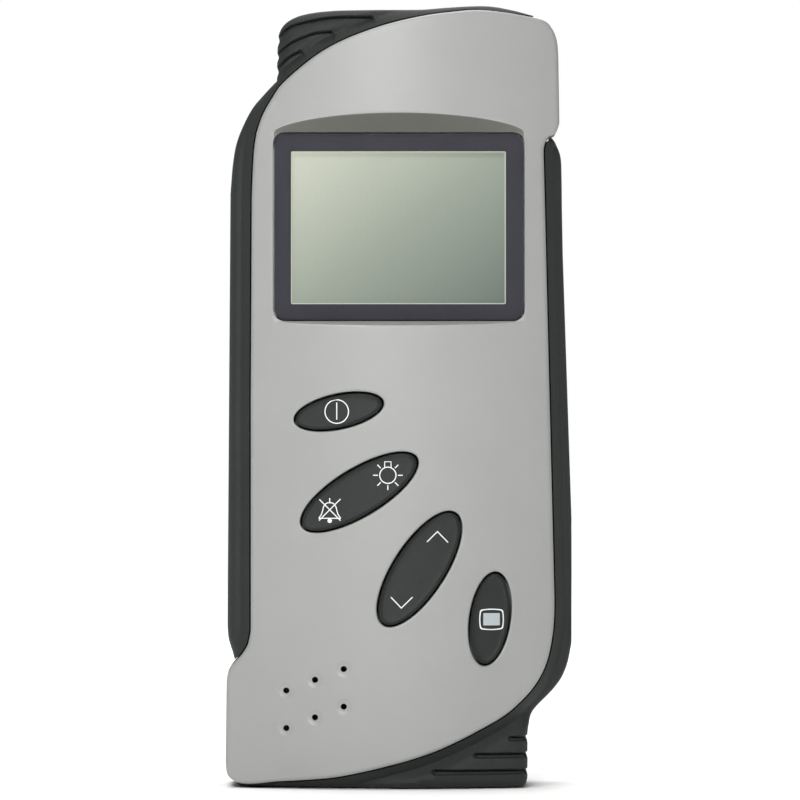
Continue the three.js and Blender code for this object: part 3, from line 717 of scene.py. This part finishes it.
def channel_slot(run, half):
    """The outline of a channel: straight sides and a round inner end, 0.5 mm long at most."""
    along = (run[0] - run[1]) / math.dist(run[0], run[1])
    across = half * np.array([-along[1], along[0]])
    cap = [run[0] + min(half, 0.5) * math.cos(a) * along + math.sin(a) * across
           for a in np.linspace(-math.pi / 2, math.pi / 2, 9)[1:-1]]
    return np.vstack([beside(run, half, False), beside(run, -half, False)[::-1], cap])


def nicked(loop, channels, depth=0.35, reach=0.75):
    """Presses the outline in where a channel runs out over the edge."""
    press = np.zeros(len(loop))
    for run in channels:
        press = np.maximum(press, depth * (1 - smooth_step(distance(loop, run, False) / reach)))
    run = np.roll(loop, -1, 0) - np.roll(loop, 1, 0)
    run /= np.hypot(*run.T)[:, None]
    return loop + press[:, None] * np.stack([-run[:, 1], run[:, 0]], 1)


GRIP_STEP, FLANK = 1.2, 2.6


def crevices(channels, half):
    """Lines just inside the upper wall of each channel, where the mould leaves a deep corner."""
    return [beside(run, half - math.copysign(0.28, half), False) for run in channels]


def grip_front(channels, half, deep, fades, valley_depth, rise):
    """half is positive where the channel's upper side lies to the left of its run."""
    def front(points, depth):
        x = points[:, 0]
        from_face = distance(points, cover_outline)
        from_side = distance(points, case_outline)
        y = crown(x) + GRIP_STEP
        y = y + valley_depth * (np.clip(from_face / 2.1, 0, 1)
                                - 0.85 * smooth_step((from_face - 1.8) / rise))
        y = y + fillet(from_side, FLANK)
        for run in channels:
            slot = channel_slot(run, abs(half))
            into = distance(points, slot) * np.where(inside(points, slot), 1, -1)
            drop = deep * np.clip(0.5 + into / (2 * WALL), 0, 1)
            if fades:
                upper = distance(points, beside(run, half, False), False)
                drop = drop * (1 - np.clip(upper / (2 * abs(half) - 0.1), 0, 1))
            corner = distance(points, crevices([run], half)[0], False)
            y = y + drop + 0.9 * np.clip(1 - corner / 0.25, 0, 1)
        return y
    return front


def grip_back(is_band):
    return lambda points, depth: np.where(is_band(*points.T), 11.0, PARTING)

# %% Build the grips
grip_rings = fillet_rings(FLANK)
valley = [beside(cover_outline, -d) for d in (2.1, 3.2)]
head_nicks = [beside(run, 0.6, False) for run in head_walls]
left = smooth_outline(longest_loop("left_grip", PARTING - 1), 0.45)
left = nicked(swollen(left), head_nicks)
left_solid = plate([left], grip_front(head_channels, -HEAD_HALF, 0.85, True, 1.0, 1.9),
                   grip_back(lambda x, z: (x < -24.3) & (z < 142.4)),
                   rings=grip_rings, pitch=0.9, wall=WALL,
                   lines=[*valley, *crevices(head_channels, -HEAD_HALF)],
                   creases=[channel_slot(run, HEAD_HALF) for run in head_channels])
piece("left_grip_rubber", [left_solid], "case", rubber, ["left_grip"])

right = smooth_outline(longest_loop("right_grip", PARTING - 1), 0.45)
right = nicked(swollen(right), foot_channels, 0.42)
right_solid = plate([right], grip_front(foot_channels, FOOT_HALF, 0.8, False, 2.1, 3.2),
                    grip_back(lambda x, z: (x > 26) & (z > 13)),
                    rings=grip_rings, pitch=1.1, wall=WALL,
                    lines=[*valley, *crevices(foot_channels, FOOT_HALF)],
                    creases=[channel_slot(run, FOOT_HALF) for run in foot_channels])
piece("right_grip_rubber", [right_solid], "case", rubber, ["right_grip"])

# %% [markdown]
# ## The rear shell
# Behind the parting line the shell first follows the face, which leaves room for the rubber, and
# then widens to the full outline. Its back edges are rounded to 5 mm to sit in the palm. The
# battery bay goes in from the back, with a step round it for the door.

# %% Build the rear shell
BACK = cad_high.y / MM
BACK_RADIUS = 5.0
SHELL_SPLIT, POCKET_FLOOR, WELL_FLOOR = 11.2, 12.0, 12.9
DOOR_LOW, DOOR_HIGH = (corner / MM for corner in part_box("battery_door"))
bay_hole = rounded_box(-22.7, 22.7, 19.3, 79.3, 0.8)
door_step = rounded_box(DOOR_LOW.x - 0.4, DOOR_HIGH.x + 0.4,
                        DOOR_LOW.z - 0.4, DOOR_HIGH.z + 0.4, 1.6)
latch_pocket = rounded_box(-22.7, 22.7, 80.9, 85.5, 0.6)
screw_wells = [ellipse(x, z, 3, 3, step=0.5) for x, z in
               ((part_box(f"case_screw_{i}")[0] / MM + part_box(f"case_screw_{i}")[1] / MM).xz / 2
                for i in (1, 2, 3, 4))]


def shell_back(points, depth):
    y = BACK - fillet(depth[0], BACK_RADIUS)
    y = np.where(inside(points, door_step), DOOR_LOW.y - 0.3, y)
    y = np.where(inside(points, latch_pocket), POCKET_FLOOR, y)
    for well in screw_wells:
        y = np.where(inside(points, well), WELL_FLOOR, y)
    return y


shell_outline = nicked(nicked(case_outline, head_nicks), foot_channels, 0.42)
rear_upper = plate([shell_outline, bay_hole], level(SHELL_SPLIT), shell_back,
                   rings=fillet_rings(BACK_RADIUS, 6),
                   creases=[door_step, latch_pocket, *screw_wells], pitch=2.5)
waist = smooth_outline(longest_loop("rear_cover", 2.0))
waist = nicked(nicked(swollen(waist), head_nicks), foot_channels, 0.42)


def lipped(points, depth):
    """A lip 1.2 mm in from the edge reaches the cover, so no light gets through the joint."""
    edge = depth[0]
    return PARTING + np.where(edge < 1.2, GAP + fillet(edge, 0.35), 0.02)


rear_lower = plate([waist, bay_hole], lipped, level(11.25),
                   rings=[0.1, 0.35, 1.15, 1.25], pitch=4)
bay_floor = plate([rounded_box(-23.5, 23.5, 18.5, 80.1, 1)], level(-1.6), level(-0.4), pitch=4)
piece("rear_shell", [rear_upper, rear_lower, bay_floor], "case", shell_abs, ["rear_cover"])

# %% Ribs in the bay that hold the flat contacts
def small_block(x0, x1, y0, y1, z0, z1, radius=0.3):
    edge = lambda points, depth: fillet(depth[0], radius)
    loop = rounded_box(x0, x1, z0, z1, radius, step=1.5)
    return plate([loop], lambda p, d: y0 + edge(p, d), lambda p, d: y1 - edge(p, d),
                 rings=[radius * 0.3, radius], pitch=3)


ribs = []
for i in (1, 2, 3):
    low, high = (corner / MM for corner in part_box(f"contact_plate_{i}"))
    outer = 79.6 if low.z > 50 else 19.0
    inner = high.z + 0.3 if low.z > 50 else low.z - 0.3
    ribs.append(small_block(low.x - 0.2, high.x + 0.2, -0.6, 11.0,
                            min(outer, inner), max(outer, inner)))
piece("contact_ribs", ribs, "case", shell_abs)

# %% [markdown]
# ## The display
# Four layers: the clear window, flush with the face at its sides, the dark frame printed on the
# window's back, the edge of the light guide, given a painted glow so it shows as a thin bright
# line round the display, and the panel behind, which glows with painted light.

# %% Build the window, its printed frame and the panel
PANE_BACK, PRINT_BACK, FILM_GAP = -11.6, -11.25, 0.05
window_loop = rounded_box(WINDOW_LOW.x, WINDOW_HIGH.x, WINDOW_LOW.z, WINDOW_HIGH.z, 2.3)
pane = plate([window_loop], level(WINDOW_LOW.y), level(PANE_BACK), pitch=4)
piece("display_window_pane", [pane], "case", acrylic, ["display_window"])
view = rounded_box(-21.6, 21.4, 96.8, 127.4, 0.3)
printed = plate([beside(window_loop, 0.15), view],
                level(PANE_BACK + FILM_GAP), level(PRINT_BACK), pitch=4)
piece("display_printed_frame", [printed], "case", window_ink)
# A painted glow: this thin line stands in for the highlight round the display.
lit_edge = plate([beside(view, -0.02), beside(view, 0.2)], level(-11.3), level(-11.1), pitch=2)
piece("display_lit_edge", [lit_edge], "case", light_guide_painted_glow)
panel_loop = rounded_box(*(v / MM for v in (lcd_low.x, lcd_high.x, lcd_low.z, lcd_high.z)), 0.4)
panel = plate([panel_loop], level(lcd_low.y / MM), level(lcd_high.y / MM), pitch=5)
piece("display_panel", [panel], "case", lcd_painted_glow, ["lcd_glass"])

# %% [markdown]
# ## The keys
# Each key is a silicone cap that stands 0.4 mm out of the face and follows its crown, with a
# narrow bevel and a fine raised rim round its top. The symbols are printed on. They are thin
# raised plates here, so they move with their key and stay crisp from any side.

# %% Build the caps
KEY_PROUD = 0.4
caps = {"power": ("power_key", "power_button"),
        "light_mute": ("light_mute_key", "light_mute_rocker"),
        "up_down": ("up_down_key", "up_down_rocker"),
        "display": ("display_key", "display_button")}


def key_top(points, depth):
    d = depth[0]
    rim = 0.15 * np.exp(-((d - 0.55) / 0.13)**2)
    return crown(points[:, 0]) - KEY_PROUD + 0.5 * (1 - smooth_step(d / 0.42)) - rim


for key, (body, node) in caps.items():
    x, z, a, b, tilt = KEYS[key]
    cap = plate([ellipse(x, z, a - 0.46, b - 0.46, tilt)], key_top, level(-10.1),
                rings=[0.1, 0.2, 0.3, 0.42, 0.55, 0.7, 0.9], pitch=1.2)
    piece(f"{key}_key_cap", [cap], body, key_silicone, [node])

# %% Draw the symbols
def stroke(points, width=0.2):
    """The outline of a line of this width along a run of points, with square ends."""
    run = np.array(points, float)
    return np.vstack([beside(run, -width / 2, False), beside(run, width / 2, False)[::-1]])


def printed_mark(*loops):
    loops = [np.array(loop, float) for loop in loops]
    return plate(loops, lambda p, d: crown(p[:, 0]) - KEY_PROUD - 0.04,
                 lambda p, d: crown(p[:, 0]) - KEY_PROUD + 0.06, pitch=0.8)


def ring(x, z, radius, width=0.2):
    return printed_mark(ellipse(x, z, radius + width / 2, radius + width / 2, step=0.25),
                        ellipse(x, z, radius - width / 2, radius - width / 2, step=0.25))


def ray(x, z, r0, r1, angle):
    c, s = math.cos(math.radians(angle)), math.sin(math.radians(angle))
    return printed_mark(stroke([(x + r0 * c, z + r0 * s), (x + r1 * c, z + r1 * s)]))


power_mark = [ring(-12.4, 75.3, 2.35), printed_mark(stroke([(-12.4, 73.7), (-12.4, 77.1)]))]
piece("power_symbol", power_mark, "power_key", key_ink)

lamp = [ring(-2.2, 62.6, 1.62),
        printed_mark(stroke([(-2.85, 64.1), (-2.82, 65.3), (-1.58, 65.3), (-1.55, 64.1)]))]
lamp += [ray(-2.2, 62.6, 2.0, 2.95, angle) for angle in (0, 45, 135, 180, 225, 270, 315)]
bell_side = [(-14.6, 56.9), (-15.05, 56.3), (-15.25, 55.4), (-15.5, 54.7), (-16.0, 54.0)]
bell_right = [(-27.6 - x, z) for x, z in bell_side]
bell = [
    printed_mark(stroke([*reversed(bell_side), (-14.2, 57.1), (-13.4, 57.1), *bell_right])),
    printed_mark(stroke([(-16.0, 54.0), (-11.6, 54.0)])),
    printed_mark(stroke([(-13.8, 57.1), (-13.8, 58.0)])),
    printed_mark(ellipse(-13.8, 53.5, 0.45, 0.45, step=0.2)),
    printed_mark(stroke([(-15.95, 57.85), (-11.65, 53.55)])),
    printed_mark(stroke([(-11.65, 57.85), (-15.95, 53.55)]))]
piece("light_and_mute_symbols", lamp + bell, "light_mute_key", key_ink)

arrows = [printed_mark(stroke(run)) for run in (
    [(5.6, 49.3), (7.75, 51.45)], [(7.6, 51.45), (9.8, 49.2)],
    [(-1.6, 38.3), (0.55, 36.05)], [(0.4, 36.05), (2.7, 38.3)])]
piece("up_and_down_symbols", arrows, "up_down_key", key_ink)

def bulged_box(x, z, half_x, half_z, bulge=0.2):
    """A box whose four sides bow outwards."""
    loop = rounded_box(x - half_x, x + half_x, z - half_z, z + half_z, 0.35, step=0.4)
    u, v = (loop[:, 0] - x) / half_x, (loop[:, 1] - z) / half_z
    return loop + bulge * np.stack([np.sign(u) * (1 - v**2) * (np.abs(u) > 0.9),
                                    np.sign(v) * (1 - u**2) * (np.abs(v) > 0.9)], 1)


piece("display_symbol", [printed_mark(bulged_box(18.5, 33.8, 2.27, 1.93),
                                      bulged_box(18.5, 33.8, 2.06, 1.72))],
      "display_key", key_ink)
piece("display_symbol_screen", [printed_mark(rounded_box(16.85, 20.15, 32.6, 35.05, 0.15))],
      "display_key", grey_ink)

# %% [markdown]
# ## The back
# The battery door is a flat panel with rounded edges and a few finger grooves. The catch slides
# in a pocket at its top. The screws have a domed head with a cross recess, down in their wells.

# %% Build the door and the catch
finger_grooves = [np.linspace((-11, z), (11, z), 45) for z in (64, 66.2, 68.4, 70.6, 72.8)]
latch_low, latch_high = (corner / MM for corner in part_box("door_latch"))
latch_recess = rounded_box(-7.4, 7.4, 77, DOOR_HIGH.z - 0.05, 0.4)
RECESS_FLOOR = 16.1


def door_back(points, depth):
    y = BACK - fillet(depth[0], 0.5)
    for run in finger_grooves:
        y = y - 0.45 * (1 - smooth_step(distance(points, run, False) / 0.6))
    return np.where(inside(points, latch_recess), RECESS_FLOOR, y)


door_loop = rounded_box(DOOR_LOW.x, DOOR_HIGH.x, DOOR_LOW.z, DOOR_HIGH.z, 1.5)
door = plate([door_loop], level(DOOR_LOW.y), door_back, rings=[0.06, 0.2, 0.5],
             creases=[latch_recess], lines=finger_grooves, pitch=2.2)
piece("battery_door_panel", [door], "door", shell_abs, ["battery_door"])
latch_grooves = [np.linspace((-5.5, z), (5.5, z), 23) for z in (81.6, 83.2, 84.8)]


def latch_back(points, depth):
    y = BACK - fillet(depth[0], 0.3)
    for run in latch_grooves:
        y = y - 0.4 * (1 - smooth_step(distance(points, run, False) / 0.5))
    return y


latch_loop = rounded_box(latch_low.x, latch_high.x, latch_low.z, latch_high.z, 0.5, step=0.5)
latch = plate([latch_loop], level(latch_low.y), latch_back, rings=[0.1, 0.3], lines=latch_grooves,
              pitch=1)
piece("battery_door_catch", [latch], "latch", shell_abs, ["door_latch"])

# %% Screws with a domed head and a cross recess
def screw_head(x, z, seat, radius):
    cross = [np.array([(x - radius * 0.6, z), (x + radius * 0.6, z)]),
             np.array([(x, z - radius * 0.6), (x, z + radius * 0.6)])]

    def dome(points, depth):
        y = seat + 1.75 - 0.06 * (radius - depth[0])**2 - fillet(depth[0], 0.4)
        slot = np.min([distance(points, run, False) for run in cross], 0)
        return y - 0.9 * (1 - smooth_step((slot - 0.25) / 0.15))

    return plate([ellipse(x, z, radius, radius, step=0.35)], level(seat), dome,
                 rings=[0.12, 0.4], pitch=0.22)


def screw_shank(x, z, seat, radius, length):
    rings, sides = 9, 20
    pitch = length / rings
    profile = []
    for i in range(rings):
        profile += [(radius * 0.8, i * pitch), (radius, (i + 0.5) * pitch)]
    profile += [(radius * 0.8, length), (0.05, length + 0.3)]
    points, faces = [], []
    for r, depth in profile:
        points += [(x + r * math.cos(2 * math.pi * k / sides), seat - depth,
                    z + r * math.sin(2 * math.pi * k / sides)) for k in range(sides)]
    for i in range(len(profile) - 1):
        faces += [(i * sides + k, i * sides + (k + 1) % sides,
                   (i + 1) * sides + (k + 1) % sides, (i + 1) * sides + k) for k in range(sides)]
    faces += [tuple(range(sides)), tuple(range((len(profile) - 1) * sides, len(profile) * sides))]
    return np.array(points), faces


SEAT = 13.0
for i in (1, 2, 3, 4):
    low, high = (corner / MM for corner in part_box(f"case_screw_{i}"))
    x, z = (low.x + high.x) / 2, (low.z + high.z) / 2
    piece(f"case_screw_{i}_zinc",
          [screw_head(x, z, SEAT, 2.6), screw_shank(x, z, SEAT + 0.05, 1.0, 20.5)],
          "case", zinc, [f"case_screw_{i}"])

# %% [markdown]
# ## The batteries
# Three AA cells lie side by side. A cell is a turned shape: a steel can with a shrunk-on printed
# sleeve that curls over both ends. So it is a profile swept round an axis, in three materials.

# %% Build the cells
CELL_LENGTH = 50.5


def cell(name, x, y, z0, up):
    profile = [(0.05, 0.15), (5.6, 0.15), (5.9, 0), (6.6, 0), (7.0, 0.35), (7.1, 0.9), (7.1, 24),
               (7.1, 36), (7.1, 48.2), (6.95, 48.8), (6.5, 49.05), (5.6, 49.05), (5.4, 48.8),
               (3.3, 48.8), (3.0, 48.95), (2.7, 49.1), (2.7, 50.3), (2.5, 50.5), (0.05, 50.5)]
    sides = 56
    points, faces, kinds = [], [], []
    for r, h in profile:
        z = z0 + h if up else z0 + CELL_LENGTH - h
        points += [(x + r * math.cos(2 * math.pi * k / sides),
                    y + r * math.sin(2 * math.pi * k / sides), z) for k in range(sides)]
    for i, (r, h) in enumerate(profile[:-1]):
        kind = 0 if 2 <= i < 7 else 1 if 7 <= i < 11 else 2
        for k in range(sides):
            faces.append((i * sides + k, i * sides + (k + 1) % sides,
                          (i + 1) * sides + (k + 1) % sides, (i + 1) * sides + k))
            kinds.append(kind)
    faces += [tuple(range(sides)), tuple(range((len(profile) - 1) * sides, len(profile) * sides))]
    obj = piece(f"{name}_sleeved", [(np.array(points), faces)], "case", sleeve, [name], sharp=30)
    obj.data.materials.append(band)
    obj.data.materials.append(nickel)
    for polygon, kind in zip(obj.data.polygons, [*kinds, 2, 2]):
        polygon.material_index = kind


for i in (1, 2, 3):
    low, high = (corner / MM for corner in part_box(f"battery_cell_{i}"))
    spring_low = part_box(f"contact_spring_{i}")[0].z / MM
    cell(f"battery_cell_{i}", (low.x + high.x) / 2, (low.y + high.y) / 2, low.z, spring_low < 40)

# %% [markdown]
# ## The parts that keep their CAD shape
# Boards, can, speaker, coil, domes, springs and gaskets are already the right shape, so they only
# get their finishes. All but the thin springs and domes also get a small rounded edge, from a
# bevel modifier, which doesn't touch the mesh.

# %% Finishes for the carried-over parts
finish_of = {
    "window_gasket": foam, "speaker_gasket": foam, "lcd_frame": tinned, "backlight": white_abs,
    "lcd_flex": flex_film, "keypad_mat": mat_silicone, "key_board": board_green,
    "main_board": board_green, "board_header": epoxy, "processor": epoxy, "reader_chip": epoxy,
    "shield_can": tinned, "speaker": epoxy, "ferrite_rod": ferrite, "antenna_coil": enamelled,
    "rod_holder_left": white_abs, "rod_holder_right": white_abs,
}
for name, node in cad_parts.items():
    kind = finish_of.get(name)
    if kind is None and ("dome" in name or "spring" in name):
        kind = nickel
    if kind is None and "plate" in name:
        kind = brass
    if kind is None and "screw" in name:
        kind = zinc
    if kind is None:
        continue
    node.data.materials.clear()
    node.data.materials.append(kind)
    for polygon in node.data.polygons:
        polygon.material_index = 0
    if not ("spring" in name or "dome" in name):
        edge = node.modifiers.new("edge", "BEVEL")
        edge.width, edge.segments, edge.limit_method = 0.1 * MM, 2, "ANGLE"
print("CAD parts with a bevelled edge:",
      sum(len(node.modifiers) > 0 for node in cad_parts.values()))

# %% [markdown]
# ## Floor, light and camera
# The object stands on a large pale floor in a bright, plain studio. Two soft lights in front,
# above and a little to the left make the crowned face fall off to both sides. The lower one stays
# high enough not to be mirrored in the window. The surroundings look white, but give much less
# light than that, or the shape of the face would be lost.

# %% Floor
floor_material, tree = new_material("matt studio floor paint")
where = add(tree, "ShaderNodeTexCoord").outputs["Object"]
speckle = add(tree, "ShaderNodeTexNoise", {"Vector": where, "Scale": 1000 / 6, "Detail": 4.0})
ramp = add(tree, "ShaderNodeValToRGB", {"Fac": speckle.outputs["Fac"]})
ramp.color_ramp.elements[0].color = srgb("#f5f5f4")
ramp.color_ramp.elements[1].color = srgb("#fafaf9")
paint = add(tree, "ShaderNodeBsdfPrincipled",
            {"Base Color": ramp.outputs["Color"], "Roughness": 0.8, "IOR": 1.45})
add(tree, "ShaderNodeOutputMaterial", {"Surface": paint.outputs["BSDF"]})
bm = bmesh.new()
bmesh.ops.create_grid(bm, x_segments=24, y_segments=24, size=1.5)
floor_mesh = bpy.data.meshes.new("studio_floor")
bm.to_mesh(floor_mesh)
bm.free()
floor_mesh.materials.append(floor_material)
floor = bpy.data.objects.new("studio_floor", floor_mesh)
FLOOR_GAP = 0.0002
floor.location.z = -FLOOR_GAP
bpy.context.scene.collection.objects.link(floor)
floor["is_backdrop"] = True

# %% World and lamps
WORLD_LIGHT = 0.17
world = bpy.data.worlds.new("studio")
world.use_nodes = True
bpy.context.scene.world = world
tree = world.node_tree
tree.nodes.clear()
seen = add(tree, "ShaderNodeBackground", {"Color": srgb("#ffffff"), "Strength": 1.0})
given = add(tree, "ShaderNodeBackground", {"Color": srgb("#ffffff"), "Strength": WORLD_LIGHT})
path = add(tree, "ShaderNodeLightPath")
mix = add(tree, "ShaderNodeMixShader",
          {0: path.outputs["Is Camera Ray"], 1: given.outputs[0], 2: seen.outputs[0]})
add(tree, "ShaderNodeOutputWorld", {"Surface": mix.outputs[0]})
TARGET = Vector((0, 0, 0.08))


def soft_light(name, place, size, power):
    lamp = bpy.data.lights.new(name, "AREA")
    lamp.shape, lamp.size, lamp.energy = "DISK", size, power
    obj = bpy.data.objects.new(name, lamp)
    obj.location = place
    obj.rotation_euler = (TARGET - Vector(place)).to_track_quat("-Z", "Y").to_euler()
    bpy.context.scene.collection.objects.link(obj)


soft_light("key_softbox", (-0.28, -0.72, 0.62), 0.3, 2.8)
soft_light("front_softbox", (-0.08, -0.88, 0.36), 0.16, 4.6)
soft_light("back_softbox", (0.0, 1.2, 0.9), 0.6, 5.0)
ceiling = bpy.data.lights.new("ceiling_light", "SUN")
ceiling.energy, ceiling.angle = 2.6, math.radians(50)
overhead = bpy.data.objects.new("ceiling_light", ceiling)
overhead.rotation_euler = (math.radians(-8), 0, 0)
bpy.context.scene.collection.objects.link(overhead)

# %% Camera
DISTANCE, FACE_PLANE = 1.3, -0.015
FIELD_WIDTH, FIELD_BEHIND = 0.16, 0.002
camera = bpy.data.cameras.new("camera")
camera.sensor_width = 36
camera.lens = camera.sensor_width * (DISTANCE + FIELD_BEHIND) / FIELD_WIDTH
eye = bpy.data.objects.new("camera", camera)
eye.location = (0.00022, FACE_PLANE - DISTANCE, 0.0776)
eye.rotation_euler = (math.pi / 2, 0, 0)
bpy.context.scene.collection.objects.link(eye)
bpy.context.scene.camera = eye
bpy.context.scene.view_settings.view_transform = "Standard"

# %% Print the visual size
low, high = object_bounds()
print("visual box, mm:", [round((b - a) / MM, 1) for a, b in zip(low, high)])
